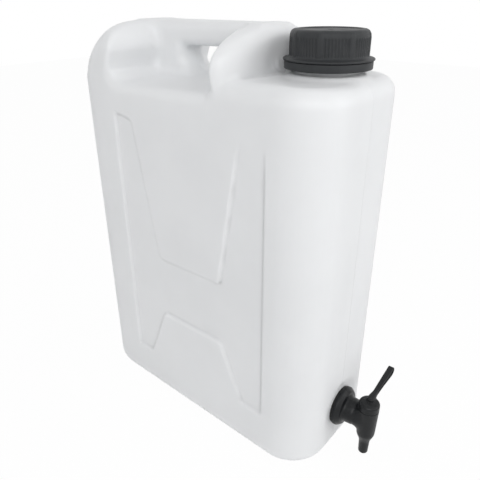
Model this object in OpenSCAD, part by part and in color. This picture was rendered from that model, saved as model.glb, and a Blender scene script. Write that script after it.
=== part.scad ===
// Blow-moulded plastic canister with a carrying handle, a screw cap and a lever tap.
// The long sides face -X and +X, the tap end faces -Y, and the base stands on Z = 0.

/* [Canister] */
// Length from the tap end to the rear
body_l = 280; // [260:1:320]
// Width across the long sides
body_w = 132; // [126:1:150]
// Height to the top of the handle
body_h = 384; // [372:1:410]
// Radius of the upright corners
corner_r = 39; // [34:1:44]
// Thickness of the moulded wall
wall = 1.6; // [1.4:0.1:2.4]
// Radius of the bottom edge at the tap end and along the sides
base_r = 13; // [8:1:18]
// Radius of the bottom edge at the rear
base_r_rear = 22; // [14:1:28]
// Depth of the two pockets under the base
base_recess = 2; // [1:0.5:4]
// Width of the rim that the canister stands on
base_rim = 7; // [5:1:12]
// Width of the band between the two pockets
base_band = 18; // [12:1:30]
// Drop from the top of the handle to the deck that carries the neck
deck_drop = 36.5; // [34:0.5:44]
// Radius of the edge between the deck and the walls
deck_r = 14; // [8:1:18]
// Distance from the tap end to the front of the handle block
block_setback = 76; // [75:0.5:78]
// Radius at the foot of the handle block
block_foot_r = 7; // [4:1:9]
// Radius over the front of the handle block
block_top_r = 12; // [8:1:16]
// Height of the crowned top above its spring line
crown_h = 32; // [26:1:34]
// Radius over the rear of the top
rear_r = 47; // [40:1:52]

/* [Grip] */
// Front end of the side scoops
scoop_front_y = -38; // [-42:1:-32]
// Length of the side scoops at their floor
scoop_l = 111; // [100:1:116]
// Depth of the side scoops below the top of the handle
scoop_depth = 49; // [46:1:56]
// Rise of the scoops' floor from the sides to the middle
scoop_bank = 5; // [2:0.5:5.5]
// Radius of the lower corners of the scoops
scoop_r = 10; // [6:1:14]
// How far the rear end of the scoops leans forward over its height
scoop_lean = 9; // [4:1:10]
// Radius of the flare at the top of the rear end of the scoops
flare_r = 24; // [16:1:26]
// Width of the handle bar
bar_w = 32; // [26:1:38]
// Depth of the handle bar
bar_h = 20; // [16:1:24]
// Radius along the edges of the handle bar
bar_r = 8.5; // [5:0.5:9.5]
// Front end of the web under the bar at its foot
web_foot_y = 27; // [20:1:34]
// Front end of the web where it runs into the bar
web_head_y = 47; // [40:1:54]

/* [Side panels] */
// Depth of the panels pressed into the long sides
panel_depth = 2.5; // [1:0.25:4]
// Width of the soft step round the panels
panel_step = 1.6; // [0.8:0.2:2.4]
// Lower edge of the panels
panel_z = 51; // [44:1:56]
// Distance from the deck down to the upper edge of the panels
panel_drop = 38.5; // [35:0.5:48]
// Length over which the narrow front strip fades out at its top
strip_fade = 34; // [24:1:44]
// Front edge of the panels
panel_front_y = -91.5; // [-94:0.5:-88]
// Rear edge of the panels
panel_rear_y = 78.5; // [72:0.5:88]
// Top of the low raised field in each panel
foot_top_z = 110.7; // [90:0.1:130]
// Bottom of the tall raised field in each panel
field_z = 174; // [150:1:200]
// Front end of the narrow edge of both raised fields
field_front_y = -43; // [-50:1:-36]
// Rear end of the narrow edge of both raised fields
field_rear_y = 33; // [26:1:40]
// How far the raised fields widen at each end
field_flare = 25; // [15:1:28]

/* [Neck] */
// Distance from the tap end to the centre of the neck
neck_setback = 40; // [39:0.5:41]
// Radius of the neck at the crest of its thread
neck_r = 25.4; // [24:0.1:26.5]
// Radius of the mouth
mouth_r = 21.5; // [19:0.5:22.5]
// Height of the mouth's rim above the deck
neck_h = 29.5; // [27:0.5:31]
// Radius of the conical foot of the neck at its lower edge
neck_foot_r = 37; // [35:0.5:38]
// Height of the conical foot above the deck
neck_foot_h = 3.5; // [2:0.5:4.5]
// How far the locking bead stands out from the neck
bead_out = 3.4; // [2:0.2:4]

/* [Cap] */
// Radius of the ribbed grip
cap_r = 29.7; // [29:0.1:31]
// Radius of the flange at the foot of the cap
flange_r = 33.9; // [33:0.1:35]
// Height of the cap's lower edge above the deck
flange_rise = 11.3; // [10.7:0.1:12.5]
// Thickness of the flange
flange_t = 2.3; // [1.5:0.1:3]
// Thickness of the top plate
cap_plate = 2.8; // [2:0.1:3.5]
// Radius of the edge round the top
cap_edge_r = 4; // [2:0.5:6]
// Depth of the dished top inside its rim
cap_dish = 0.9; // [0.5:0.1:1.4]
// Number of grip panels round the cap
grip_panels = 8; // [6:1:10]
// Number of fine ribs on each grip panel
panel_ribs = 8; // [5:1:9]
// Height of the fine ribs
rib_out = 0.5; // [0.3:0.1:0.8]
// Turn of the grip panels about the neck, in degrees
grip_turn = 17.7; // [0:0.1:45]
// Thickness of the liner
liner_t = 1.6; // [1:0.1:2.4]
// Height of the tamper band
band_h = 4.4; // [3.6:0.1:5]
// Gap between the band and the cap
band_gap = 0.4; // [0.3:0.1:0.8]
// Radius of the tamper band
band_r = 32.9; // [32:0.1:33.5]

/* [Tap] */
// Height of the tap's inlet axis
tap_z = 44.5; // [43:0.5:48]
// Depth of the dished seat round the tap
seat_depth = 1.5; // [0.8:0.1:2]
// Radius of the flat seat
seat_r = 21.5; // [20.5:0.5:23]
// Widening of the seat out to the end wall
seat_flare = 8; // [5:0.5:9]
// Wall round the port that holds the tap's tail
port_wall = 4; // [3:0.5:5]
// Thickness of the rubber washer
gasket_t = 1.5; // [1:0.1:2.5]
// Radius of the flange that presses the washer
disc_r = 19.4; // [18:0.1:20]
// Thickness of the flange
disc_t = 8; // [6:0.5:9]
// Bevel round the edges of the flange
disc_edge = 1; // [0.5:0.1:2]
// Depth of the waist round the flange
disc_waist = 0.8; // [0.4:0.1:1.6]
// Radius of the threaded tail
tail_r = 13.2; // [12:0.1:14]
// Length of the threaded tail behind the seat
tail_l = 14; // [12:1:18]
// Radius of the stem between the flange and the barrel
stem_r = 12.4; // [11:0.1:12.8]
// Radius of the waterway in the stem
way_r = 4.6; // [4:0.1:5]
// Distance from the seat to the axis of the barrel
barrel_reach = 30; // [28:0.5:32]
// Height of the top of the barrel
barrel_top_z = 57.5; // [57:0.5:60]
// Radius of the barrel at its top
barrel_r = 9.7; // [9.4:0.1:10.5]
// Radius of the barrel at its foot
barrel_foot_r = 8.6; // [8.2:0.1:9.4]
// Height of the foot of the barrel, where it narrows to the spout
barrel_foot_z = 29; // [28:0.5:32]
// Radius of the spout
spout_r = 4.8; // [4.4:0.1:5.2]
// Height of the top of the spout's straight end
hose_z = 16; // [12:0.5:18]
// Radius of the outlet
outlet_r = 3; // [2.6:0.1:3.3]
// Height of the spout's mouth above the floor
spout_z = 2.5; // [2:0.5:6]
// Radius of the turning plug
plug_r = 6.6; // [6.2:0.1:7]
// Height of the foot of the plug's bore
plug_foot_z = 27; // [25:0.5:28]
// Height of the plug's domed head
head_h = 8.5; // [6:0.5:10]
// Length of the lever from the plug's axis
lever_l = 45; // [38:1:50]
// Rise of the lever along its length, in degrees
lever_rise = 15; // [8:1:22]
// Thickness of the lever at its tip
lever_t = 5.8; // [4.6:0.2:6.4]
// Thickness of the lever where it leaves the head
lever_root_t = 3.8; // [3:0.2:4.6]
// Depth of the lever where it is deepest
lever_h = 13.5; // [9:0.5:15]
// Depth of the hollow in the lever's front
lever_hollow = 1.4; // [0.6:0.2:1.8]
// Width of the rim round the hollow
lever_rim = 1.3; // [0.9:0.1:2]

/* [Clearances] */
// Play between the plug and the barrel
plug_play = 0.06; // [0.03:0.01:0.1]
// Play between the cap and the neck's thread
thread_play = 0.7; // [0.5:0.1:1]
// Play between the tap's tail and its port
port_play = 0.15; // [0.1:0.05:0.3]
// Play between faces that pass each other
face_play = 0.3; // [0.3:0.1:0.5]

/* [Hidden] */
$fn = 72;
eps = 0.01;
over = 1;
can_color = [0.90, 0.91, 0.91];
cap_color = [0.24, 0.25, 0.26];
tap_color = [0.17, 0.18, 0.19];
rubber_color = [0.10, 0.10, 0.10];
deck_z = body_h - deck_drop;
scoop_z = body_h - scoop_depth;
panel_top_z = deck_z - panel_drop;
neck_top_z = deck_z + neck_h;
flange_z = deck_z + flange_rise;
front_y = -body_l / 2;
block_y = front_y + block_setback;
neck_y = front_y + neck_setback;
crest_y = scoop_front_y - 2;
scoop_rear_y = scoop_front_y + scoop_l;
flare_y = scoop_rear_y - scoop_lean + flare_r;
spring_z = body_h - crown_h;
side_z = deck_z - deck_r;
corner_steps = 8;
crown_steps = 10;
crown_end = 84;
edge_steps = 4;
bar_root = 10;
dip = 4;
seat_y = front_y + seat_depth;
barrel_y = seat_y - barrel_reach;
disc_y = seat_y - gasket_t - disc_t;

// General helpers
function mix(a, b, k) = a + (b - a) * k;
function limit(v) = max(0, min(1, v));
function arc(c, r, a0, a1, n) =
    [for (i = [0:n]) let (a = mix(a0, a1, i / n)) [c[0] + r * cos(a), c[1] + r * sin(a)]];

// Edges of the raised fields: they widen upward above field_z and downward below foot_top_z
function flare_at(z) =
    z > field_z ? field_flare * (z - field_z) / (panel_top_z - field_z)
    : z < foot_top_z ? field_flare * (foot_top_z - z) / (foot_top_z - panel_z) : 0;

// Places along a long side: step edges of the panel low down, even steps higher up
function side_columns(z, high) =
    high ? [mix(front_y + corner_r, crest_y, 0.25), mix(front_y + corner_r, crest_y, 0.5),
            mix(front_y + corner_r, crest_y, 0.72), mix(front_y + corner_r, crest_y, 0.88), crest_y,
            mix(crest_y, -front_y - corner_r, 0.25), mix(crest_y, -front_y - corner_r, 0.5),
            mix(crest_y, -front_y - corner_r, 0.75), mix(crest_y, -front_y - corner_r, 0.9)]
    : let (h = panel_step / 2, f = flare_at(z))
        [panel_front_y - h, panel_front_y + h,
         field_front_y - f - h, field_front_y - f + h, (field_front_y + field_rear_y) / 2,
         field_rear_y + f - h, field_rear_y + f + h, panel_rear_y - h, panel_rear_y + h];

// Half outline of the walls as [x, y, normal x, normal y], round the +X side from front to rear
function half_outline(t, columns, n) =
    let (hx = body_w / 2 - t, hy = body_l / 2 - t, r = corner_r - t, fx = hx - r)
    concat([for (i = [0:n]) let (a = -90 + 90 * i / n)
               [fx + r * cos(a), -hy + r + r * sin(a), cos(a), sin(a)]],
           [for (y = columns) [hx, y, 1, 0]],
           [for (i = [0:n]) let (a = 90 * i / n)
               [fx + r * cos(a), hy - r + r * sin(a), cos(a), sin(a)]]);

// Bottom edge: a quarter round whose radius grows towards the rear
function base_row(a, t, n) = [
    for (s = half_outline(t, side_columns(panel_z, false), n))
        let (share = limit((s[1] - front_y - corner_r) / (body_l - 2 * corner_r)),
             r = mix(base_r, base_r_rear, share) - t, cut = r * (1 - sin(a)))
        [s[0] - s[2] * cut, s[1] - s[3] * cut, t + r * (1 - cos(a))]
];

// Wall at one height: dents = [front strip, middle, rear strip] as shares of the panel depth
function wall_row(z, dents, drop, t, n) =
    let (outline = half_outline(t, side_columns(z, false), n), first = n + 1)
    [for (i = [0:len(outline) - 1])
        let (s = outline[i], c = i - first,
             dent = c == 1 || c == 2 ? dents[0] : c >= 3 && c <= 5 ? dents[1]
                  : c == 6 || c == 7 ? dents[2] : 0)
        [s[0] - s[2] * dent * panel_depth, s[1], z - (c == 5 || c == 6 ? drop : 0)]];

// Rear wall: upright up to the rounding, then a quarter round over to the top
function rear_in(z) =
    let (h = z - (body_h - rear_r)) h <= 0 ? 0 : rear_r - sqrt(max(0, rear_r * rear_r - h * h));

// Half width of the crowned top, and the front of the handle block, at one height
function crown_x(z, t) =
    z <= spring_z ? body_w / 2 - t
    : (body_w / 2 - t) * sqrt(max(0.001, 1 - pow((z - spring_z) / (body_h - t - spring_z), 2)));
function block_in(z) =
    let (h = z - (body_h - block_top_r))
    h <= 0 ? 0 : block_top_r - sqrt(max(0, block_top_r * block_top_r - h * h));

// Half outline of the handle block: a half ellipse in front, straight flanks, and round rear corners
function block_outline(z, t, n) =
    let (hx = crown_x(z, t), hy = body_l / 2 - t - rear_in(z + t), r = min(corner_r - t, 0.8 * hx),
         depth = crest_y - (block_y + t + block_in(z + t)), front = n + 7)
    concat([for (i = [2:front - 1]) let (a = -90 + 90 * i / front)
               [hx * cos(a), crest_y + depth * sin(a)]],
           [for (k = [0, 0.25, 0.5, 0.75, 0.9]) [hx, mix(crest_y, hy - r, k)]],
           [for (i = [0:n]) let (a = 90 * i / n) [hx - r + r * cos(a), hy - r + r * sin(a)]]);

// How much of the deck's height each point of the outline takes
function deck_share(i, n) = let (c = i - n - 1) c < 0 ? 1 : c > 3 ? 0 : [1, 0.85, 0.5, 0.18][c];

// Deck row: an edge rounded by angle a, then drawn in by the share e to the foot of the block
function deck_row(z, front_z, a, e, t, n) =
    let (walls = half_outline(t, side_columns(z, true), n), block = block_outline(z, t, n),
         r = deck_r - t)
    [for (i = [0:len(walls) - 1])
        let (s = walls[i], k = deck_share(i, n), cut = r * (1 - cos(a)) * k,
             x = s[0] - s[2] * cut, y = s[1] - s[3] * cut, rear = i > n + 4)
        rear ? [block[i][0], block[i][1], z]
        : [mix(x, block[i][0], e), mix(y, block[i][1], e), mix(z, front_z, k)]];

function crown_row(z, t, n) = [for (p = block_outline(z, t, n)) [p[0], p[1], z]];

// All rows of the moulding, drawn in by t
function moulding_rows(t, n) =
    let (h = panel_step / 2, foot = block_foot_r + t, edge = deck_r - t)
    concat([for (k = [0:edge_steps]) base_row(90 * k / edge_steps, t, n)],
           [wall_row(panel_z - h, [0, 0, 0], 0, t, n),
            wall_row(panel_z + h, [1, 0, 1], 0, t, n),
            wall_row(foot_top_z - h, [1, 0, 1], 0, t, n),
            wall_row(foot_top_z + h, [1, 1, 1], 0, t, n),
            wall_row(field_z - h, [1, 1, 1], 0, t, n),
            wall_row(field_z + h, [1, 0, 1], 0, t, n),
            wall_row(panel_top_z - strip_fade, [1, 0, 1], 0, t, n),
            wall_row(panel_top_z - strip_fade / 3, [0.35, 0, 1], 0, t, n),
            wall_row(panel_top_z - h, [0, 0, 1], dip, t, n),
            wall_row(panel_top_z + h, [0, 0, 0], dip, t, n)],
           [for (k = [0:edge_steps]) let (a = 90 * k / edge_steps)
               deck_row(side_z + k, side_z + edge * sin(a), a, 0, t, n)],
           [for (k = [1:2]) deck_row(side_z + edge_steps + 2 * k, deck_z - t, 90, 0.42 * k, t, n)],
           [for (k = [0:2]) let (a = 45 * k)
               deck_row(mix(side_z + 10, spring_z - 1, k / 2), deck_z - t + foot * (1 - cos(a)), 90,
                        1 - foot * (1 - sin(a)) / (block_setback - deck_r), t, n)],
           [for (k = [1:crown_steps])
               crown_row(spring_z + (body_h - t - spring_z) * sin(crown_end * k / crown_steps)
                         / sin(crown_end), t, n)]);

// Closed skin through the rows, mirrored about X = 0 and closed by strips across its ends
module skin(rows) {
    half = len(rows[0]);
    ring = 2 * half;
    points = [for (row = rows)
        each concat(row, [for (i = [half - 1:-1:0]) [-row[i][0], row[i][1], row[i][2]]])];
    last = (len(rows) - 1) * ring;
    faces = concat(
        [for (i = [0:half - 2]) let (m = ring - 1 - i) each [[i, i + 1, m], [i + 1, m - 1, m]]],
        [for (i = [0:half - 2]) let (a = last + i, m = last + ring - 1 - i)
            each [[a + 1, a, m], [m - 1, a + 1, m]]],
        [for (j = [0:len(rows) - 2], i = [0:ring - 1]) let (a = j * ring + i, b = j * ring + (i + 1) % ring)
            each [[a, a + ring, b], [b, a + ring, b + ring]]]);
    polyhedron(points = points, faces = faces);
}

// Side view of a scoop, grown by g all round, with its floor raised by rise
function scoop_outline(g, rise) =
    let (f = scoop_front_y - g, b = scoop_rear_y + g, z = scoop_z - g + rise, r = scoop_r + g,
         top = body_h + over + g, flare = flare_r - g)
    concat([[f, top]],
           arc([f + r, z + r], r, 180, 270, 6),
           arc([b - r, z + r], r, 270, 360, 6),
           arc([flare_y, top - flare], flare, 180, 90, 6));

// The two scoops, whose floor rises to the middle, grown by g
module scoops(g) {
    last = len(scoop_outline(g, 0)) - 1;
    points = [for (x = [-1, 0, 1] * (body_w / 2 + over))
        each [for (p = scoop_outline(g, x == 0 ? scoop_bank : 0)) [x, p[0], p[1]]]];
    faces = concat([[for (i = [0:last]) i], [for (i = [last:-1:0]) 2 * last + 2 + i]],
                   [for (j = [0, 1], i = [0:last])
                       let (a = j * (last + 1) + i, b = j * (last + 1) + (i + 1) % (last + 1))
                       each [[a, a + last + 1, b], [b, a + last + 1, b + last + 1]]]);
    polyhedron(points = points, faces = faces);
}

// Handle bar over the scoops, drawn in by t
module bar(t, y0, y1) {
    w = bar_w / 2 - bar_r;
    z0 = body_h - bar_h + bar_r;
    translate([0, y1, 0])
        rotate([90, 0, 0])
            linear_extrude(y1 - y0)
                polygon(concat(arc([w, body_h - bar_r], bar_r - t, 0, 90, 4),
                               arc([-w, body_h - bar_r], bar_r - t, 90, 180, 4),
                               arc([-w, z0], bar_r - t, 180, 270, 4),
                               arc([w, z0], bar_r - t, 270, 360, 4)));
}

// Web that closes the rear of the grip under the bar, drawn in by t
module web(t) {
    w = bar_w / 2 - bar_r;
    low = [web_foot_y + bar_r, scoop_z - wall - over];
    high = [web_head_y + bar_r, body_h - bar_h / 2];
    hull()
        for (x = [-w, w], p = [low, high, [scoop_rear_y + t, low[1]], [scoop_rear_y + t, high[1]]])
            translate([x, p[0], p[1]])
                cylinder(h = eps, r = bar_r - t);
}

// The two pockets under the base, drawn in by t, inside the rim and apart by the band
module base_pockets(t, depth) {
    r = corner_r - base_r_rear - base_rim;
    for (side = [-1, 1])
        translate([0, 0, -over])
            linear_extrude(depth + over)
                hull()
                    for (x = [-1, 1], y = [body_l / 2 - corner_r, base_band / 2 + r])
                        translate([x * (body_w / 2 - corner_r), side * y])
                            circle(r - t);
}

// A cylinder along Y between two places
module along_y(y0, y1, r0, r1) {
    translate([0, y0, tap_z])
        rotate([-90, 0, 0])
            cylinder(h = y1 - y0, r1 = r0, r2 = r1);
}

module moulded_solid() {
    difference() {
        skin(moulding_rows(0, corner_steps));
        scoops(0);
        base_pockets(0, base_recess);
        along_y(front_y - over, seat_y, seat_r + seat_flare, seat_r);
    }
    bar(0, scoop_front_y - bar_root, flare_y + over);
    web(0);
    neck();
}

module cavity() {
    difference() {
        skin(moulding_rows(wall, corner_steps / 2));
        scoops(wall);
        base_pockets(-wall, base_recess + wall);
    }
    bar(wall, scoop_front_y - bar_root + wall, flare_y - wall);
    web(wall);
}

module neck() {
    bead_z = flange_z - band_gap - band_h / 2;
    translate([0, neck_y, 0])
        rotate_extrude()
            polygon([[mouth_r - over, deck_z - deck_r / 2], [neck_foot_r, deck_z - deck_r / 2],
                     [neck_r + bead_out, deck_z + neck_foot_h],
                     [neck_r, deck_z + neck_foot_h + 1], [neck_r, bead_z],
                     [neck_r + bead_out, bead_z], [neck_r + bead_out, bead_z + 0.6],
                     [neck_r, bead_z + 2.6], [neck_r, neck_top_z], [mouth_r - over, neck_top_z]]);
}

module canister() {
    color(can_color)
    difference() {
        union() {
            difference() {
                moulded_solid();
                cavity();
            }
            along_y(seat_y, seat_y + tail_l - 2, tail_r + port_wall, tail_r + port_wall);
        }
        translate([0, neck_y, deck_z - wall - over])
            cylinder(h = body_h, r = mouth_r);
        along_y(seat_y - over, seat_y + tail_l, tail_r + port_play, tail_r + port_play);
    }
}

// Grip of the cap seen from above: panels of fine ribs between smooth lands
function grip_outline() =
    let (panel = 360 / grip_panels, land = 0.09 * panel, pitch = (panel - 2 * land) / panel_ribs)
    [for (p = [0:grip_panels - 1], k = [0:panel_ribs - 1], e = [[0, 0], [0.45, 0], [0.5, 1], [0.95, 1]])
        let (a = p * panel + land + (k + e[0]) * pitch, r = cap_r - rib_out * (1 - e[1]))
        [r * cos(a), r * sin(a)]];

module screw_cap() {
    top_z = neck_top_z + liner_t + cap_plate;
    low = flange_z + flange_t;
    color(cap_color)
    translate([0, neck_y, 0])
    difference() {
        union() {
            translate([0, 0, low - eps])
                rotate(grip_turn)
                    linear_extrude(top_z - cap_edge_r - 3 - low)
                        polygon(grip_outline());
            rotate_extrude()
                polygon(concat([[0, flange_z], [flange_r - 0.4, flange_z], [flange_r, flange_z + 0.5],
                                [flange_r, low - 0.6], [flange_r - 0.8, low],
                                [cap_r - rib_out - 0.3, low + 0.6],
                                [cap_r - rib_out - 0.3, top_z - cap_edge_r - 3.6],
                                [cap_r - 0.2, top_z - cap_edge_r - 3.2]],
                               arc([cap_r - 0.2 - cap_edge_r, top_z - cap_edge_r], cap_edge_r, 0, 90, 5),
                               [[cap_r - 2.4 - cap_edge_r, top_z],
                                [cap_r - 3.6 - cap_edge_r, top_z - cap_dish],
                                [0, top_z - cap_dish]]));
        }
        translate([0, 0, flange_z - over])
            cylinder(h = neck_top_z + liner_t - flange_z + over, r = neck_r + thread_play);
    }
}

module cap_liner() {
    color([0.93, 0.93, 0.90])
    translate([0, neck_y, neck_top_z])
        cylinder(h = liner_t, r = neck_r - 0.4);
}

module tamper_band() {
    z0 = flange_z - band_gap - band_h;
    inside = neck_r + bead_out + face_play;
    color(cap_color)
    translate([0, neck_y, 0])
        rotate_extrude()
            polygon([[inside, z0], [band_r - 0.6, z0], [band_r, z0 + 0.7], [band_r, z0 + band_h - 0.3],
                     [band_r - 0.3, z0 + band_h], [inside, z0 + band_h], [inside, z0 + 2],
                     [neck_r + face_play, z0 + 2 - 0.6], [neck_r + face_play, z0 + 0.6], [inside, z0]]);
}

module tap_gasket() {
    color(rubber_color)
    difference() {
        along_y(seat_y - gasket_t, seat_y, disc_r - 0.8, disc_r - 0.8);
        along_y(seat_y - gasket_t - over, seat_y + over, tail_r + port_play, tail_r + port_play);
    }
}

// Flange of the tap: a bevelled front rim, a waist and a rear rim against the washer
module disc() {
    rim = disc_t * 0.3;
    along_y(disc_y, disc_y + disc_edge, disc_r - disc_edge, disc_r);
    along_y(disc_y + disc_edge, disc_y + rim, disc_r, disc_r);
    along_y(disc_y + rim, disc_y + disc_t - rim, disc_r - disc_waist, disc_r - disc_waist);
    along_y(disc_y + disc_t - rim, disc_y + disc_t, disc_r, disc_r);
}

// Barrel tapering down to the spout, turned about the plug's axis
module barrel() {
    translate([0, barrel_y, 0])
        rotate_extrude()
            polygon(concat([[0, spout_z], [spout_r - 1, spout_z], [spout_r, spout_z + 1.4],
                            [spout_r, hose_z]],
                           [for (a = [15:15:90])
                               [mix(spout_r, barrel_foot_r, (1 - cos(2 * a)) / 2),
                                mix(hose_z, barrel_foot_z, a / 90)]],
                           [[barrel_r, barrel_top_z], [0, barrel_top_z]]));
}

module tap_body() {
    color(tap_color)
    difference() {
        union() {
            along_y(seat_y - gasket_t, seat_y + tail_l, tail_r, tail_r);
            disc();
            along_y(barrel_y + barrel_r, disc_y + disc_edge, stem_r - 0.4, stem_r + 0.4);
            along_y(barrel_y, barrel_y + barrel_r, barrel_foot_r - 1, stem_r - 0.4);
            barrel();
        }
        along_y(barrel_y, seat_y + tail_l + over, way_r, way_r);
        translate([0, barrel_y, plug_foot_z])
            cylinder(h = body_h, r = plug_r + plug_play);
        translate([0, barrel_y, spout_z - over])
            cylinder(h = plug_foot_z, r = outlet_r);
    }
}

// Side view of the lever, along its top edge: a slim neck, then a deep blade that rises to the tip
module lever_outline() {
    polygon(concat([[0, -4.5], [barrel_r + 2, -4.5], [barrel_r + 3, -6.6], [barrel_r + 5, 1 - lever_h]],
                   arc([lever_l - 13, 7 - lever_h], 7, 265, 310, 4),
                   arc([lever_l - 2, -2], 2, -30, 90, 4),
                   [[0, 0]]));
}

// Lever blade: the side view kept to a plan that widens towards the tip, hollowed in front
module lever_blade() {
    translate([0, barrel_y, barrel_top_z + head_h * 0.6])
        rotate([0, -lever_rise, 0])
            intersection() {
                difference() {
                    rotate([90, 0, 0])
                        linear_extrude(2 * lever_t, center = true)
                            lever_outline();
                    translate([0, lever_hollow - lever_t / 2, 0])
                        rotate([90, 0, 0])
                            linear_extrude(lever_t)
                                intersection() {
                                    offset(delta = -lever_rim)
                                        lever_outline();
                                    translate([barrel_r + 4, -lever_h])
                                        square([lever_l, lever_h]);
                                }
                }
                translate([0, 0, -2 * lever_h])
                    linear_extrude(4 * lever_h)
                        polygon([[0, -lever_root_t / 2], [lever_l, -lever_t / 2],
                                 [lever_l, lever_t / 2], [0, lever_root_t / 2]]);
            }
}

module tap_plug() {
    bore_top = tap_z + way_r + 2;
    foot_z = plug_foot_z + face_play;
    head_z = barrel_top_z + face_play;
    color(tap_color)
    difference() {
        union() {
            translate([0, barrel_y, 0])
                rotate_extrude()
                    polygon(concat([[0, foot_z], [plug_r, foot_z], [plug_r, head_z], [barrel_r, head_z]],
                                   [for (a = [0:15:90])
                                       [barrel_r * cos(a),
                                        mix(head_z + head_h * 0.4, barrel_top_z + head_h, sin(a))]]));
            lever_blade();
        }
        translate([0, barrel_y, foot_z - over])
            cylinder(h = bore_top - foot_z + over, r = way_r);
        translate([0, barrel_y, tap_z])
            rotate([0, -90, 0])
                cylinder(h = plug_r + over, r = way_r - 0.4);
    }
}

canister();
screw_cap();
cap_liner();
tamper_band();
tap_body();
tap_gasket();
tap_plug();
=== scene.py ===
import math
import bpy
import numpy as np
from mathutils import Matrix, Vector


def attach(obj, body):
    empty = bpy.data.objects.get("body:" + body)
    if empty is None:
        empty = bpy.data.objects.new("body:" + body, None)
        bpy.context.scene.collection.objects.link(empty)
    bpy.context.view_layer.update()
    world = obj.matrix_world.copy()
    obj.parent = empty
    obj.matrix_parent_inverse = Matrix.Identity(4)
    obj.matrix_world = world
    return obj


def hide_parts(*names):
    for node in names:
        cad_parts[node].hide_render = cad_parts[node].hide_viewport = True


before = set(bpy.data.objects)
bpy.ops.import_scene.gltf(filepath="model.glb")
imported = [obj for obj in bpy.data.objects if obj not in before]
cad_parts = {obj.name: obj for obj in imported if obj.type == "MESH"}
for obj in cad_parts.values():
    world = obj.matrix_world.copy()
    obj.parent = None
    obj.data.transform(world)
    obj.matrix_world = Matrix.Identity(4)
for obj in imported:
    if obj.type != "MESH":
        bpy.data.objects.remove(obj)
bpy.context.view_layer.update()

# Camera, light and floor
# A plain white studio: soft lamps in front of the tap end and high in front of the long side, a weak one
# overhead, and a pale floor that keeps the soft shadow.
CAMERA_PLACE = Vector((-0.34393, -0.30045, 0.40409))
CAMERA_AIM = Vector((-0.009469, -0.021460, 0.189764))
CAMERA_ROLL = math.radians(-0.313)
LENS_MM, SENSOR_MM, NEAR_CLIP = 37.54, 36, 0.01
ahead = (CAMERA_AIM - CAMERA_PLACE).normalized()
level = ahead.cross(Vector((0, 0, 1))).normalized()
above = level.cross(ahead)
across = level * math.cos(CAMERA_ROLL) + above * math.sin(CAMERA_ROLL)
upward = above * math.cos(CAMERA_ROLL) - level * math.sin(CAMERA_ROLL)
camera = bpy.data.objects.new("camera", bpy.data.cameras.new("camera"))
camera.data.lens = LENS_MM
camera.data.sensor_width = SENSOR_MM
camera.data.clip_start = NEAR_CLIP
camera.matrix_world = Matrix((
    (across.x, upward.x, -ahead.x, CAMERA_PLACE.x),
    (across.y, upward.y, -ahead.y, CAMERA_PLACE.y),
    (across.z, upward.z, -ahead.z, CAMERA_PLACE.z),
    (0, 0, 0, 1)))
bpy.context.scene.collection.objects.link(camera)
bpy.context.scene.camera = camera
bpy.context.scene.view_settings.view_transform = "Standard"


LAMP_AIM = Vector((0, 0, 0.2))


def soft_lamp(name, place, size, watts):
    """Round area lamp that faces the middle of the canister."""
    lamp = bpy.data.objects.new(name, bpy.data.lights.new(name, "AREA"))
    lamp.data.shape = "DISK"
    lamp.data.size = size
    lamp.data.energy = watts
    lamp.location = place
    lamp.rotation_euler = (LAMP_AIM - Vector(place)).to_track_quat("-Z", "Y").to_euler()
    bpy.context.scene.collection.objects.link(lamp)


soft_lamp("lamp_tap_end", (0.75, -1.35, 0.95), 1.1, 4.5)
soft_lamp("lamp_front_left", (-1.4, -0.9, 1.3), 1.2, 13.5)
soft_lamp("lamp_front", (0.1, -1.6, 0.7), 1.2, 3.2)
soft_lamp("lamp_overhead", (0, 0, 1.9), 1.5, 2)


def seen_directly(tree):
    """1 for rays from the camera and for those that reflections and clear things show."""
    path = tree.nodes.new("ShaderNodeLightPath")
    first = tree.nodes.new("ShaderNodeMath")
    first.operation = "MAXIMUM"
    both = tree.nodes.new("ShaderNodeMath")
    both.operation = "MAXIMUM"
    tree.links.new(path.outputs["Is Camera Ray"], first.inputs[0])
    tree.links.new(path.outputs["Is Glossy Ray"], first.inputs[1])
    tree.links.new(first.outputs[0], both.inputs[0])
    tree.links.new(path.outputs["Is Transmission Ray"], both.inputs[1])
    return both.outputs[0]


WHITE = (1, 1, 1, 1)
ROOM_COLOUR, ROOM_STRENGTH = (0.985, 0.99, 1.0, 1), 0.48
world = bpy.data.worlds.new("studio")
bpy.context.scene.world = world
world.use_nodes = True
world_tree = world.node_tree
world_tree.nodes.clear()
room = world_tree.nodes.new("ShaderNodeBackground")
room.inputs["Color"].default_value = ROOM_COLOUR
room.inputs["Strength"].default_value = ROOM_STRENGTH
backdrop = world_tree.nodes.new("ShaderNodeBackground")
backdrop.inputs["Color"].default_value = WHITE
backdrop.inputs["Strength"].default_value = 1
choice = world_tree.nodes.new("ShaderNodeMixShader")
world_out = world_tree.nodes.new("ShaderNodeOutputWorld")
world_tree.links.new(seen_directly(world_tree), choice.inputs[0])
world_tree.links.new(room.outputs[0], choice.inputs[1])
world_tree.links.new(backdrop.outputs[0], choice.inputs[2])
world_tree.links.new(choice.outputs[0], world_out.inputs[0])

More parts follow.
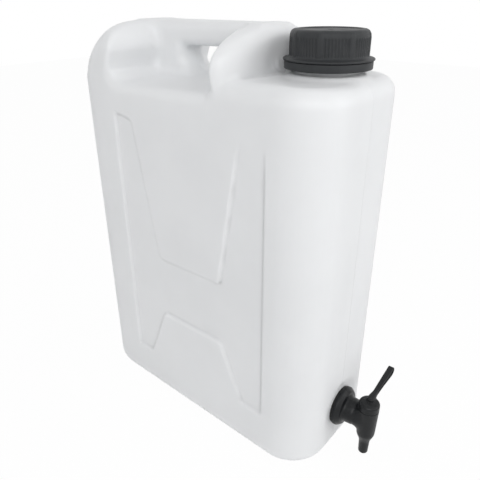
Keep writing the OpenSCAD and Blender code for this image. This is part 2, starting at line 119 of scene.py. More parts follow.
FLOOR_HALF, FLOOR_GREY, FLOOR_LIT_SHARE = 3.0, 0.92, 0.97
floor_mesh = bpy.data.meshes.new("floor")
floor_mesh.from_pydata([(-FLOOR_HALF, -FLOOR_HALF, 0), (FLOOR_HALF, -FLOOR_HALF, 0),
                        (FLOOR_HALF, FLOOR_HALF, 0), (-FLOOR_HALF, FLOOR_HALF, 0)], [], [(0, 1, 2, 3)])
floor = bpy.data.objects.new("floor", floor_mesh)
bpy.context.scene.collection.objects.link(floor)
floor_finish = bpy.data.materials.new("pale_floor")
floor_finish.use_nodes = True
floor_tree = floor_finish.node_tree
paint = floor_tree.nodes["Principled BSDF"]
paint.inputs["Base Color"].default_value = (FLOOR_GREY, FLOOR_GREY, FLOOR_GREY, 1)
paint.inputs["Roughness"].default_value = 0.9
paint.inputs["Specular IOR Level"].default_value = 0.1
shine = floor_tree.nodes.new("ShaderNodeEmission")
shine.inputs["Color"].default_value = WHITE
lift = floor_tree.nodes.new("ShaderNodeMixShader")
lit_share = floor_tree.nodes.new("ShaderNodeMath")
lit_share.operation = "MULTIPLY"
lit_share.inputs[1].default_value = FLOOR_LIT_SHARE
floor_tree.links.new(seen_directly(floor_tree), lit_share.inputs[0])
floor_tree.links.new(lit_share.outputs[0], lift.inputs[0])
floor_tree.links.new(paint.outputs[0], lift.inputs[1])
floor_tree.links.new(shine.outputs[0], lift.inputs[2])
floor_tree.links.new(lift.outputs[0], floor_tree.nodes["Material Output"].inputs[0])
floor_mesh.materials.append(floor_finish)


# Canister
# One hollow blow moulding of natural polyethylene: rounded body, deck with the neck, crowned handle block
# with the grip bar left standing between two scoops, pressed side panels and a dished seat for the tap.
# Sizes are in millimetres, as the forms are, and piece_from turns them into metres.
# Walls and deck
BODY_W, BODY_L, BODY_H = 132.0, 280.0, 384.0
CORNER_R, BASE_R, BASE_R_REAR = 39.0, 13.0, 22.0
WALL = 1.6
DECK_Z, DECK_R = 347.5, 14.0
# Handle block: its front, its crown, the fall of its top to the rear, and the fillet at its foot
BLOCK_Y, CREST_Y, BLOCK_TOP_R = -64.0, -40.0, 12.0
CROWN_H, REAR_RUN, REAR_FALL, REAR_BOW = 32.0, 51.5, 60.0, 1.3
CROWN_BOW, FULLER_FROM, FULLER_TO = 3.2, 30, 100
FOOT_FILLET, FILLET_START, FILLET_RUN = 7.0, 7, 8
# Scoops: their ends and floor, how they bank, lean and spread, and the rounding of their edges
SCOOP_FRONT, SCOOP_REAR, SCOOP_Z, SCOOP_R, SCOOP_EDGE = -38.0, 73.0, 335.0, 10.0, 2.5
SCOOP_BANK, SCOOP_LEAN, SCOOP_SPREAD, FLARE_R, SCOOP_BACK_R = 5.0, 6.0, 11.0, 24.0, 16.0
SCOOP_LIP, LIP_FROM, LIP_TO = 9.0, 336, 352
# Handle bar, and the web under its rear
BAR_W, BAR_H, BAR_R, BAR_ROOT_FRONT, BAR_ROOT_REAR = 32.0, 20.0, 8.5, 8, 20
WEB_FOOT_Y, WEB_HEAD_Y = 27.0, 47.0
GRIP_FILLET, HOLE_FILLET, WEB_R, WEB_END, BAR_START = 10.0, 7.0, 13.5, 352, 362
# Pressed panels with their two raised fields
PANEL_DEPTH, PANEL_STEP, SIDE_FROM, SIDE_TO = 2.5, 1.8, 40, 55
PANEL_DIP, DIP_RUN, DIP_FROM, DIP_TO = 4.0, 20, 200, 250
PANEL_LOW, PANEL_HIGH, PANEL_FRONT, PANEL_REAR = 51.0, 309.0, -91.5, 78.5
FOOT_TOP, FIELD_LOW, FIELD_FRONT, FIELD_REAR, FIELD_FLARE = 110.7, 174.0, -43.0, 33.0, 25.0
PANEL_CORNER_R, FIELD_CORNER_R, STRIP_FADE, STRIP_BLEND = 3.0, 4.0, 34.0, 4
# Seat of the tap, conical foot of the neck, and the two pockets under the base
TAP_Z, SEAT_R, SEAT_FLARE, SEAT_DEPTH = 44.5, 21.5, 8.0, 1.5
NECK_Y, NECK_FOOT_R, NECK_FOOT_TOP_R, NECK_FOOT_H = -100.0, 37.0, 28.8, 3.5
FOOT_EDGE_R, FOOT_ROOT, FOOT_MELT = 0.8, 4, 3.0
POCKET_Y, POCKET_HALF_W, POCKET_HALF_L, POCKET_R, POCKET_DEPTH, POCKET_STEP = 60, 37, 51, 10, 2.0, 3.0


def round_and(a, b, r):
    """Both fields, with a convex edge of radius r."""
    u, v = np.maximum(a + r, 0), np.maximum(b + r, 0)
    return np.minimum(np.maximum(a, b), -r) + np.hypot(u, v)


def round_or(a, b, r):
    """Either field, with a hollow fillet of radius r."""
    return -round_and(-a, -b, r)


def soft_or(a, b, k):
    """Either field, melted together over the width k."""
    h = np.clip(0.5 + 0.5 * (b - a) / k, 0, 1)
    return b + (a - b) * h - k * h * (1 - h)


def round_box(x, y, half_x, half_y, r):
    """Rectangle about the origin with corners of radius r."""
    qx, qy = np.abs(x) - half_x + r, np.abs(y) - half_y + r
    return np.minimum(np.maximum(qx, qy), 0) + np.hypot(np.maximum(qx, 0), np.maximum(qy, 0)) - r


def fade(a, b, v):
    """0 below a, 1 above b, smooth between them."""
    t = np.clip((v - a) / (b - a), 0, 1)
    return t * t * (3 - 2 * t)


def quarter(v, r):
    """Drop of a quarter round of radius r at the distance v along it."""
    return r - np.sqrt(np.maximum(r * r - np.clip(v, 0, r) ** 2, 0))


def rear_top(y):
    """Height of the top, which falls off in a soft slope to the rear end."""
    behind = np.clip((y - BODY_L / 2 + REAR_RUN) / REAR_RUN, 0, 1)
    return BODY_H - REAR_FALL * (1 - (1 - behind ** REAR_BOW) ** (1 / REAR_BOW))


def handle_block(x, y, z):
    """Crowned block: an arch across the body, fuller towards the rear, that falls off at both ends."""
    ahead_share = np.clip((CREST_Y - y) / (CREST_Y - BLOCK_Y), 0, 1)
    rear_run = np.clip(y - (BODY_L / 2 - CORNER_R), 0, CORNER_R)
    half_w = np.where(y < CREST_Y, BODY_W / 2 * np.sqrt(1 - ahead_share ** 2),
                      BODY_W / 2 - CORNER_R + np.sqrt(CORNER_R ** 2 - rear_run ** 2))
    half_w = np.maximum(half_w, 1.0)
    top = rear_top(y)
    spring = top - CROWN_H - quarter(BLOCK_Y + BLOCK_TOP_R - y, BLOCK_TOP_R)
    bow = 2 + (CROWN_BOW - 2) * fade(FULLER_FROM, FULLER_TO, y)
    out, up = np.abs(x) / half_w, np.maximum(z - spring, 0) / CROWN_H
    arch = np.maximum(out ** bow + up ** bow, 1e-9) ** (1 / bow)
    slope = np.hypot(out ** (bow - 1) / half_w, up ** (bow - 1) / CROWN_H)
    crown = (arch - 1) * arch ** (bow - 1) / np.maximum(slope, 1e-6)
    ends = round_and(round_and(z - top, y - BODY_L / 2, DECK_R), BLOCK_Y - y, BLOCK_TOP_R)
    plan = round_box(x, y, BODY_W / 2, BODY_L / 2, CORNER_R)
    return np.maximum(np.maximum(crown, ends), plan)


def panel_dent(y, z):
    """How deep the side is pressed in: the panel outside its two raised fields, 0 to 1."""
    dip_share = np.where(y > 0, np.clip((PANEL_REAR - y) / DIP_RUN, 0, 1), 0)
    dip = PANEL_DIP * dip_share * fade(DIP_FROM, DIP_TO, z)
    panel = round_box(y - (PANEL_FRONT + PANEL_REAR) / 2, z + dip - (PANEL_LOW + PANEL_HIGH) / 2,
                      (PANEL_REAR - PANEL_FRONT) / 2, (PANEL_HIGH - PANEL_LOW) / 2, PANEL_CORNER_R)
    slope_low = FIELD_FLARE / (FOOT_TOP - PANEL_LOW)
    slope_high = FIELD_FLARE / (PANEL_HIGH - FIELD_LOW)
    reach_low = slope_low * np.maximum(FOOT_TOP - z, 0)
    reach_high = slope_high * np.maximum(z - FIELD_LOW, 0)
    low = np.maximum(FIELD_FRONT - reach_low - y, y - FIELD_REAR - reach_low) / math.hypot(1, slope_low)
    high = np.maximum(FIELD_FRONT - reach_high - y, y - FIELD_REAR - reach_high) / math.hypot(1, slope_high)
    foot_field = round_and(low, z - FOOT_TOP, FIELD_CORNER_R)
    tall_field = round_and(high, FIELD_LOW - z, FIELD_CORNER_R)
    inside = round_and(round_and(panel, -foot_field, PANEL_CORNER_R), -tall_field, PANEL_CORNER_R)
    pressed = 1 - fade(-PANEL_STEP / 2, PANEL_STEP / 2, inside)
    front_strip = fade(-STRIP_BLEND, STRIP_BLEND, -y)
    fading = fade(PANEL_HIGH - STRIP_FADE, PANEL_HIGH, z)
    return pressed * (1 - front_strip * fading)


def grip_form(x, y, z):
    """Handle bar with the web that closes the rear of the grip under it, rounded all along the hole."""
    web_y = WEB_FOOT_Y + (WEB_HEAD_Y - WEB_FOOT_Y) * (z - SCOOP_Z) / (BODY_H - BAR_H / 2 - SCOOP_Z)
    over_hole = round_or(BODY_H - BAR_H - z, web_y - y, HOLE_FILLET)
    hole_r = WEB_R + (BAR_R - WEB_R) * fade(WEB_END, BAR_START, z)
    grip = round_and(round_and(np.abs(x) - BAR_W / 2, over_hole, hole_r), z - BODY_H, BAR_R)
    return np.maximum(grip, np.maximum(SCOOP_FRONT - BAR_ROOT_FRONT - y, y - SCOOP_REAR - BAR_ROOT_REAR))


def canister_form(x, y, z):
    """Below 0 inside the moulding, in millimetres from its surface."""
    plan = round_box(x, y, BODY_W / 2, BODY_L / 2, CORNER_R)
    low = round_and(plan, z - np.minimum(DECK_Z, rear_top(y)), DECK_R)
    block = handle_block(x, y, z)
    fillet = FOOT_FILLET * np.clip((CREST_Y - FILLET_START - y) / FILLET_RUN, 0, 1)
    form = np.where(fillet > 0.01, round_or(low, block, np.maximum(fillet, 0.01)), np.minimum(low, block))
    off_neck = np.hypot(x, y - NECK_Y)
    foot_slope = (NECK_FOOT_R - NECK_FOOT_TOP_R) / (DECK_R / 2 + NECK_FOOT_H)
    cone = (off_neck - NECK_FOOT_R + foot_slope * (z - DECK_Z + DECK_R / 2)) / math.hypot(1, foot_slope)
    cone = np.maximum(round_and(cone, z - DECK_Z - NECK_FOOT_H, FOOT_EDGE_R), DECK_Z - FOOT_ROOT - z)
    form = soft_or(form, cone, FOOT_MELT)
    scoop_floor = SCOOP_Z + SCOOP_BANK * (1 - np.abs(x) / (BODY_W / 2))
    lean_share = np.clip((z - SCOOP_Z - SCOOP_R) / (BODY_H + 1 - FLARE_R - SCOOP_Z - SCOOP_R), 0, 1)
    rear_y = SCOOP_REAR + SCOOP_SPREAD * (x / (BODY_W / 2)) ** 2 - SCOOP_LEAN * lean_share
    rear = round_and(rear_y - y, z - BODY_H - 1, FLARE_R)
    kept = round_or(round_or(y - SCOOP_FRONT, z - scoop_floor, SCOOP_R), rear, SCOOP_BACK_R)
    lip = SCOOP_LIP + (SCOOP_EDGE - SCOOP_LIP) * fade(LIP_FROM, LIP_TO, z)
    form = np.where(z > SCOOP_Z - 35, round_and(form, kept, lip), form)
    with_grip = np.maximum(round_or(form, grip_form(x, y, z), GRIP_FILLET), z - BODY_H)
    form = np.where(z > SCOOP_Z - 5, with_grip, form)
    share = np.clip((y + BODY_L / 2 - CORNER_R) / (BODY_L - 2 * CORNER_R), 0, 1)
    form = round_and(form, -z, BASE_R + (BASE_R_REAR - BASE_R) * share)
    form = form + PANEL_DEPTH * panel_dent(y, z) * fade(SIDE_FROM, SIDE_TO, np.abs(x))
    off_tap = np.hypot(x, z - TAP_Z)
    form = form + np.where(y < 0, SEAT_DEPTH * (1 - fade(SEAT_R, SEAT_R + SEAT_FLARE, off_tap)), 0)
    pocket = round_box(x, np.abs(y) - POCKET_Y, POCKET_HALF_W, POCKET_HALF_L, POCKET_R)
    pocket_share = 1 - fade(-POCKET_STEP / 2, POCKET_STEP / 2, pocket)
    return form + np.where(z < BASE_R, POCKET_DEPTH * pocket_share, 0)


def grid_lines(*runs):
    """Grid lines from runs of (start, end, step)."""
    lines = [np.linspace(a, b, max(1, round((b - a) / step)), endpoint=False) for a, b, step in runs]
    return np.concatenate(lines + [[runs[-1][1]]])


def wrap(form, xs, ys, zs):
    """Quads around a field: one corner in each grid cell that the surface crosses, moved onto it."""
    passes, probe, longest_move = 4, 0.02, 0.8
    grid = np.meshgrid(xs, ys, zs, indexing="ij")
    value = form(*grid)
    inside = value < 0
    shape = tuple(n - 1 for n in value.shape)
    cells = np.arange(np.prod(shape)).reshape(shape)
    total, count, loops = np.zeros((cells.size, 3)), np.zeros(cells.size), []
    axes = (xs, ys, zs)
    for axis in range(3):
        first = [slice(None)] * 3
        second = [slice(None)] * 3
        first[axis], second[axis] = slice(None, -1), slice(1, None)
        crossed = np.argwhere(inside[tuple(first)] != inside[tuple(second)])
        ahead_of = crossed.copy()
        ahead_of[:, axis] += 1
        a, b = value[tuple(crossed.T)], value[tuple(ahead_of.T)]
        point = np.stack([axes[i][crossed[:, i]] for i in range(3)], 1)
        point[:, axis] += a / (a - b) * (axes[axis][ahead_of[:, axis]] - axes[axis][crossed[:, axis]])
        u, v = (axis + 1) % 3, (axis + 2) % 3
        ring = []
        for du, dv in ((-1, -1), (0, -1), (0, 0), (-1, 0)):
            cell = crossed.copy()
            cell[:, u] += du
            cell[:, v] += dv
            ring.append(cells[tuple(cell.T)])
            for i in range(3):
                total[:, i] += np.bincount(ring[-1], point[:, i], cells.size)
            count += np.bincount(ring[-1], minlength=cells.size)
        ring = np.stack(ring, 1)
        loops.append(np.where(a[:, None] < 0, ring, ring[:, ::-1]))
    used = count > 0
    number = np.cumsum(used) - 1
    place = total[used] / count[used][:, None]
    quads = number[np.concatenate(loops)]
    for _ in range(passes):
        here = form(*place.T)
        slope = np.stack([(form(*(place + probe * e).T) - form(*(place - probe * e).T)) / (2 * probe)
                          for e in np.eye(3)], 1)
        move = -here[:, None] * slope / np.maximum((slope ** 2).sum(1), 0.05)[:, None]
        far = np.linalg.norm(move, axis=1)
        place = place + move * np.minimum(1, longest_move / np.maximum(far, 1e-9))[:, None]
    return place, quads


def piece_from(name, place, faces):
    """A named smooth-shaded piece from corners in millimetres."""
    mesh = bpy.data.meshes.new(name)
    mesh.from_pydata((np.asarray(place) / 1000).tolist(), [], [list(map(int, f)) for f in faces])
    mesh.validate()
    mesh.shade_smooth()
    piece = bpy.data.objects.new(name, mesh)
    bpy.context.scene.collection.objects.link(piece)
    return piece


side_steps = [(-67, -62.8, 9), (-62.8, 62.8, 2.8), (62.8, 67, 9)]
length_steps = [(-141, -137.5, 9), (-137.5, -94, 2.6), (-94, -89, 1.25), (-89, -71, 2.6), (-71, -30, 1.6),
                (-30, 30, 3), (30, 60, 1.6), (60, 76, 2), (76, 81, 1.25), (81, 137.5, 2.6), (137.5, 141, 9)]
height_steps = [(-1, 2.6, 9), (2.6, 26, 1.8), (26, 47, 3), (47, 113, 1.8), (113, 171, 3.2),
                (171, 313, 1.8), (313, 331, 2.2), (331, 385.2, 1.6)]
outer, outer_quads = wrap(canister_form, grid_lines(*side_steps), grid_lines(*length_steps),
                          grid_lines(*height_steps))


def cavity_form(x, y, z):
    """Below 0 outside the cavity: the inner face lies one wall under the outer one."""
    return canister_form(x, y, z) + WALL


inner, inner_quads = wrap(cavity_form, grid_lines((-66, 66, 5)), grid_lines((-140, 140, 5.6)),
                          grid_lines((0, 330, 6), (330, 384, 3.2)))


def open_round(place, quads, low, r):
    """Skin opened round the neck's axis above low, with the hole's edge moved onto the circle r."""
    off = np.hypot(place[:, 0], place[:, 1] - NECK_Y)
    gone = (off < r - 2) & (place[:, 2] > low)
    quads = quads[~gone[quads].any(axis=1)]
    sides = np.sort(np.stack([quads, np.roll(quads, -1, axis=1)], -1).reshape(-1, 2), axis=1)
    edges, uses = np.unique(sides, axis=0, return_counts=True)
    rim = np.unique(edges[uses == 1])
    place = place.copy()
    place[rim, 0] *= r / off[rim]
    place[rim, 1] = NECK_Y + (place[rim, 1] - NECK_Y) * r / off[rim]
    turn = np.arctan2(place[rim, 1] - NECK_Y, place[rim, 0]) % (2 * math.pi)
    return place, quads, rim[np.argsort(turn)], np.sort(turn)


def lathe(profile, turns, centre):
    """Rings of corners from (radius, height) pairs at the given turns, and the quads between them."""
    r, z = np.array(profile, float).T
    ring = np.stack([np.outer(r, np.cos(turns)), np.outer(r, np.sin(turns)),
                     np.repeat(z[:, None], len(turns), 1)], -1).reshape(-1, 3) + centre
    n = len(turns)
    low = np.arange((len(profile) - 1) * n).reshape(-1, n)
    side = np.roll(low, -1, axis=1)
    return ring, np.stack([low, side, side + n, low + n], -1).reshape(-1, 4)


def zip_rings(first, first_turn, second, second_turn):
    """Triangles between two closed rings of corners, both in order of their turn."""
    faces, i, j, n, m = [], 0, 0, len(first), len(second)
    whole = 2 * math.pi
    while i < n or j < m:
        next_i = first_turn[(i + 1) % n] + whole * ((i + 1) // n)
        next_j = second_turn[(j + 1) % m] + whole * ((j + 1) // m)
        if j >= m or (i < n and next_i <= next_j):
            faces.append((first[i % n], first[(i + 1) % n], second[j % m]))
            i += 1
        else:
            faces.append((first[i % n], second[(j + 1) % m], second[j % m]))
            j += 1
    return faces


def thread_ridge(wall_r, crest_r, half_width, low, pitch, turns, centre):
    """Helical ridge whose ends run out into the wall."""
    steps = int(turns * 72)  # 72 to a turn
    along = np.linspace(0, 1, steps + 1)
    rise = np.minimum(fade(0, 0.12, along), 1 - fade(0.88, 1, along))
    angle = along * turns * 2 * math.pi
    ring = []
    for share, shift in ((0, -1), (1, -0.35), (1, 0.35), (0, 1)):
        r = wall_r + (crest_r - wall_r) * (share * rise - 0.1)
        ring.append(np.stack([r * np.cos(angle), r * np.sin(angle),
                              low + pitch * turns * along + shift * half_width], -1))
    place = np.stack(ring, 1).reshape(-1, 3) + centre
    quads = [(k * 4 + c, k * 4 + 4 + c, k * 4 + 5 + c, k * 4 + 1 + c)
             for k in range(steps) for c in range(3)]
    return place, np.array(quads)[:, :: 1 if crest_r > wall_r else -1]


NECK_SIDES = 112
NECK_TURNS = np.arange(NECK_SIDES) * 2 * math.pi / NECK_SIDES
NECK_AXIS = np.array([0, NECK_Y, 0])
NECK_WALL_R, MOUTH_R, BEAD_R, MOUTH_Z = 23.6, 21.5, 28.8, 377.0
THREAD_R, THREAD_HALF, THREAD_LOW, THREAD_PITCH, THREAD_TURNS = 25.4, 1.5, 361.6, 6.0, 1.9
NECK_HOLE_R, CAVITY_HOLE_R, HOLE_LOW = 25.8, 24.6, 340
# Section of the neck as (radius, height), from its foot up over the locking bead to the mouth and down inside
neck_profile = [
    (25.0, 351.0), (24.2, 351.25), (23.75, 351.8), (NECK_WALL_R, 352.6), (NECK_WALL_R, 355.3),
    (23.9, 355.75), (28.2, 356.15), (28.75, 356.35), (BEAD_R, 356.6), (28.5, 356.95), (25.2, 358.5),
    (24.0, 359.2), (NECK_WALL_R, 360.0), (NECK_WALL_R, 368.0), (NECK_WALL_R, 376.0), (23.5, 376.5),
    (23.15, 376.9), (22.6, MOUTH_Z), (22.0, 376.9), (21.65, 376.55), (MOUTH_R, 376.0), (MOUTH_R, 364.0),
    (MOUTH_R, 351.6), (21.6, 350.6), (22.0, 349.8), (22.8, 349.45), (23.4, 349.4)]
outer, outer_quads, outer_rim, outer_turn = open_round(outer, outer_quads, HOLE_LOW, NECK_HOLE_R)
inner, inner_quads, inner_rim, inner_turn = open_round(inner, inner_quads, HOLE_LOW, CAVITY_HOLE_R)
neck, neck_quads = lathe(neck_profile, NECK_TURNS, NECK_AXIS)
thread, thread_quads = thread_ridge(NECK_WALL_R, THREAD_R, THREAD_HALF, THREAD_LOW, THREAD_PITCH,
                                    THREAD_TURNS, NECK_AXIS)
neck_start = len(outer)
inner_start = neck_start + len(neck)
thread_start = inner_start + len(inner)
first_ring = neck_start + np.arange(NECK_SIDES)
last_ring = first_ring + (len(neck_profile) - 1) * NECK_SIDES
canister_faces = outer_quads.tolist() + (neck_quads + neck_start).tolist()
canister_faces += (inner_quads[:, ::-1] + inner_start).tolist() + (thread_quads + thread_start).tolist()
canister_faces += zip_rings(outer_rim, outer_turn, first_ring, NECK_TURNS)
canister_faces += zip_rings(last_ring, NECK_TURNS, inner_rim + inner_start, inner_turn)
canister = piece_from("moulded_canister", np.concatenate([outer, neck, inner, thread]), canister_faces)
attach(canister, "can")
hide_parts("canister")


def group_sockets(group, takes, gives):
    """Named inputs with their values, named outputs, and the two nodes that hold them."""
    for name, value in takes.items():
        kind = "NodeSocketColor" if isinstance(value, tuple) else "NodeSocketFloat"
        group.interface.new_socket(name, in_out="INPUT", socket_type=kind).default_value = value
    for name, kind in gives.items():
        group.interface.new_socket(name, in_out="OUTPUT", socket_type=kind)
    return group.nodes.new("NodeGroupInput"), group.nodes.new("NodeGroupOutput")


def value_node(tree, operation, *takes):
    """A Math node; each of its inputs is a number or another node's output."""
    node = tree.nodes.new("ShaderNodeMath")
    node.operation = operation
    for socket, take in zip(node.inputs, takes):
        if isinstance(take, (int, float)):
            socket.default_value = take
        else:
            tree.links.new(take, socket)
    return node.outputs[0]


def ramp_node(tree, take, low, high, to_low=0.0, to_high=1.0):
    """A smooth change from to_low to to_high while the input goes from low to high."""
    node = tree.nodes.new("ShaderNodeMapRange")
    node.interpolation_type = "SMOOTHSTEP"
    for name, value in (("From Min", low), ("From Max", high), ("To Min", to_low), ("To Max", to_high)):
        node.inputs[name].default_value = value
    tree.links.new(take, node.inputs["Value"])
    return node.outputs[0]


def noise_node(tree, place, scale, detail, stretch=(1, 1, 1)):
    """Noise over the piece's own coordinates, stretched along its axes."""
    mapping = tree.nodes.new("ShaderNodeMapping")
    mapping.inputs["Scale"].default_value = stretch
    noise = tree.nodes.new("ShaderNodeTexNoise")
    noise.inputs["Detail"].default_value = detail
    tree.links.new(place, mapping.inputs["Vector"])
    tree.links.new(mapping.outputs[0], noise.inputs["Vector"])
    if isinstance(scale, (int, float)):
        noise.inputs["Scale"].default_value = scale
    else:
        tree.links.new(scale, noise.inputs["Scale"])
    return noise.outputs["Fac"]


def colour_mix(tree, share, a, b):
    """A colour from a to b by its share; each input is a value or another node's output."""
    mix = tree.nodes.new("ShaderNodeMix")
    mix.data_type = "RGBA"
    for take, socket in ((share, mix.inputs["Factor"]), (a, mix.inputs["A"]), (b, mix.inputs["B"])):
        if isinstance(take, (int, float, tuple)):
            socket.default_value = take
        else:
            tree.links.new(take, socket)
    return mix.outputs["Result"]


plastic_skin = bpy.data.node_groups.new("plastic_skin", "ShaderNodeTree")
skin_in, skin_out = group_sockets(
    plastic_skin,
    {"Colour": (0.5, 0.5, 0.5, 1), "Deep Colour": (0.4, 0.4, 0.4, 1), "Cloud Scale": 14.0,
     "Grain Scale": 2600.0, "Roughness": 0.45, "Roughness Spread": 0.1},
    {"Colour": "NodeSocketColor", "Roughness": "NodeSocketFloat", "Height": "NodeSocketFloat"})
skin_place = plastic_skin.nodes.new("ShaderNodeTexCoord").outputs["Object"]
clouds = noise_node(plastic_skin, skin_place, skin_in.outputs["Cloud Scale"], 4)
cloud = ramp_node(plastic_skin, clouds, 0.36, 0.68)
grain = noise_node(plastic_skin, skin_place, skin_in.outputs["Grain Scale"], 2)
rub = ramp_node(plastic_skin, noise_node(plastic_skin, skin_place, 60, 5, (1, 1, 0.25)), 0.5, 0.75)
shade = colour_mix(plastic_skin, cloud, skin_in.outputs["Colour"], skin_in.outputs["Deep Colour"])
plastic_skin.links.new(shade, skin_out.inputs["Colour"])
spread = value_node(plastic_skin, "MULTIPLY", skin_in.outputs["Roughness Spread"],
                    value_node(plastic_skin, "SUBTRACT", value_node(plastic_skin, "ADD", rub, grain), 0.6))
plastic_skin.links.new(value_node(plastic_skin, "ADD", skin_in.outputs["Roughness"], spread),
                       skin_out.inputs["Roughness"])
waves = value_node(plastic_skin, "MULTIPLY", cloud, 0.6)
plastic_skin.links.new(value_node(plastic_skin, "ADD", grain, waves), skin_out.inputs["Height"])

mould_line = bpy.data.node_groups.new("mould_line", "ShaderNodeTree")
line_in, line_out = group_sockets(mould_line, {"Half Width": 0.0004}, {"Line": "NodeSocketFloat"})
line_axes = mould_line.nodes.new("ShaderNodeSeparateXYZ")
mould_line.links.new(mould_line.nodes.new("ShaderNodeTexCoord").outputs["Object"], line_axes.inputs[0])
from_middle = value_node(mould_line, "DIVIDE", value_node(mould_line, "ABSOLUTE", line_axes.outputs["X"]),
                         line_in.outputs["Half Width"])
mould_line.links.new(ramp_node(mould_line, from_middle, 0.4, 1.4, 1.0, 0.0), line_out.inputs["Line"])


SCATTER_DEPTH, MOULD_LINE_H = 0.005, 0.00025


def moulded_finish(name, colour, deep, cloud_scale, grain_scale, grain_depth, rough, rough_spread, specular,
                   line=0, milkiness=0):
    """A moulding's material: cloudy colour, uneven sheen, fine grain and, where given, its mould line."""
    finish = bpy.data.materials.new(name)
    finish.use_nodes = True
    tree = finish.node_tree
    shader = tree.nodes["Principled BSDF"]
    shader.inputs["Specular IOR Level"].default_value = specular
    shader.inputs["Subsurface Weight"].default_value = milkiness
    shader.inputs["Subsurface Radius"].default_value = (1, 1, 1)
    shader.inputs["Subsurface Scale"].default_value = SCATTER_DEPTH
    skin = tree.nodes.new("ShaderNodeGroup")
    skin.node_tree = plastic_skin
    skin.inputs["Colour"].default_value = (*colour, 1)
    skin.inputs["Deep Colour"].default_value = (*deep, 1)
    skin.inputs["Cloud Scale"].default_value = cloud_scale
    skin.inputs["Grain Scale"].default_value = grain_scale
    skin.inputs["Roughness"].default_value = rough
    skin.inputs["Roughness Spread"].default_value = rough_spread
    tree.links.new(skin.outputs["Colour"], shader.inputs["Base Color"])
    tree.links.new(skin.outputs["Roughness"], shader.inputs["Roughness"])
    bump = tree.nodes.new("ShaderNodeBump")
    bump.inputs["Distance"].default_value = grain_depth
    tree.links.new(skin.outputs["Height"], bump.inputs["Height"])
    if line:
        seam = tree.nodes.new("ShaderNodeGroup")
        seam.node_tree = mould_line
        seam.inputs["Half Width"].default_value = line
        raised = tree.nodes.new("ShaderNodeBump")
        raised.inputs["Distance"].default_value = MOULD_LINE_H
        tree.links.new(seam.outputs["Line"], raised.inputs["Height"])
        tree.links.new(bump.outputs[0], raised.inputs["Normal"])
        bump = raised
    tree.links.new(bump.outputs[0], shader.inputs["Normal"])
    return finish


natural_polyethylene = moulded_finish(
    "natural_polyethylene", colour=(0.86, 0.87, 0.88), deep=(0.83, 0.84, 0.85), cloud_scale=11,
    grain_scale=1500, grain_depth=0.00004, rough=0.42, rough_spread=0.12, specular=0.45, line=0.0005,
    milkiness=0.35)
canister.data.materials.append(natural_polyethylene)


# Screw cap
# Injection-moulded black cap: a flange at its foot, eight panels of fine grip ribs between plain lands,
# a plain band above them and a rounded, slightly dished top. It screws onto the neck.
CAP_R, PANEL_CUT, RIB_OUT, GRIP_TURN = 29.7, 0.35, 0.5, math.radians(17.7)
PANELS, RIBS, LAND_SHARE, RIB_STATIONS, LAND_STATIONS = 8, 8, 0.09, 8, 4
cap_turns, grooves, in_panel = [], [], []
panel_turn = 2 * math.pi / PANELS
rib_turn = panel_turn * (1 - 2 * LAND_SHARE) / RIBS
for panel in range(PANELS):
    first = GRIP_TURN + panel * panel_turn + LAND_SHARE * panel_turn
    for k in range(RIBS * RIB_STATIONS):
        cap_turns.append(first + rib_turn * k / RIB_STATIONS)
        grooves.append(0.5 - 0.5 * math.cos(2 * math.pi * k / RIB_STATIONS))
        in_panel.append(1 if k else 0)
    for k in range(LAND_STATIONS):
        cap_turns.append(first + rib_turn * RIBS + 2 * LAND_SHARE * panel_turn * k / LAND_STATIONS)
        grooves.append(0)
        in_panel.append(0)
cap_turns = np.array(cap_turns)
grooves = np.clip(1.25 * np.array(grooves) - 0.1, 0, 1)
EDGE_R, CAP_TOP, CAP_BORE_R, FLANGE_R = 4.5, 381.4, 26.1, 33.9
edge = [(CAP_R - 0.15 - EDGE_R + EDGE_R * math.cos(a), CAP_TOP - EDGE_R + EDGE_R * math.sin(a))
        for a in np.radians((0, 15, 30, 45, 60, 75, 90))]
# Section of the cap as (radius, height), from the middle of the inside out under the flange and up to the top
cap_profile = [
    (0.03, 378.6), (14, 378.6), (25.4, 378.6), (25.9, 378.45), (CAP_BORE_R, 378.0), (CAP_BORE_R, 370),
    (CAP_BORE_R, 359.1), (26.35, 358.8), (28.6, 358.8), (28.8, 359.0), (28.8, 360.2), (33.3, 360.2),
    (33.75, 360.35), (FLANGE_R, 360.65), (FLANGE_R, 361.1), (33.7, 361.45), (33.2, 361.7), (31.2, 362.2),
    (30.2, 362.6), (29.8, 363.0), (CAP_R, 363.4), (CAP_R, 363.8), (CAP_R, 364.3), (CAP_R, 370),
    (CAP_R, 375.4), (29.68, 375.9), (29.62, 376.4), *edge, (24.2, CAP_TOP), (23.5, 381.25), (22.9, 380.8),
    (22.3, 380.55), (21.6, 380.5), (12, 380.5), (2.2, 380.5), (1.9, 380.35), (1.2, 380.3), (0.03, 380.3)]
cap_rings, cap_quads = lathe(cap_profile, cap_turns, 0)
cap_z = np.array([z for _, z in cap_profile])
on_wall = np.array([r for r, _ in cap_profile]) > 24.5
rib_share = on_wall * fade(363.2, 364.3, cap_z) * (1 - fade(375.2, 376.6, cap_z))
panel_share = on_wall * fade(362.8, 363.8, cap_z) * (1 - fade(378.5, 380.8, cap_z)) * (cap_z > 362)
cut = PANEL_CUT * np.outer(panel_share, in_panel) + RIB_OUT * np.outer(rib_share, grooves)
cap_rings[:, :2] *= 1 - cut.reshape(-1, 1) / CAP_R
cap_thread, cap_thread_quads = thread_ridge(CAP_BORE_R, 25.6, 1.2, 361.2, THREAD_PITCH, THREAD_TURNS,
                                            NECK_AXIS)
cap = piece_from("ribbed_screw_cap", np.concatenate([cap_rings + NECK_AXIS, cap_thread]),
                 cap_quads.tolist() + (cap_thread_quads + len(cap_rings)).tolist())
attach(cap, "cap")
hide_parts("screw_cap")
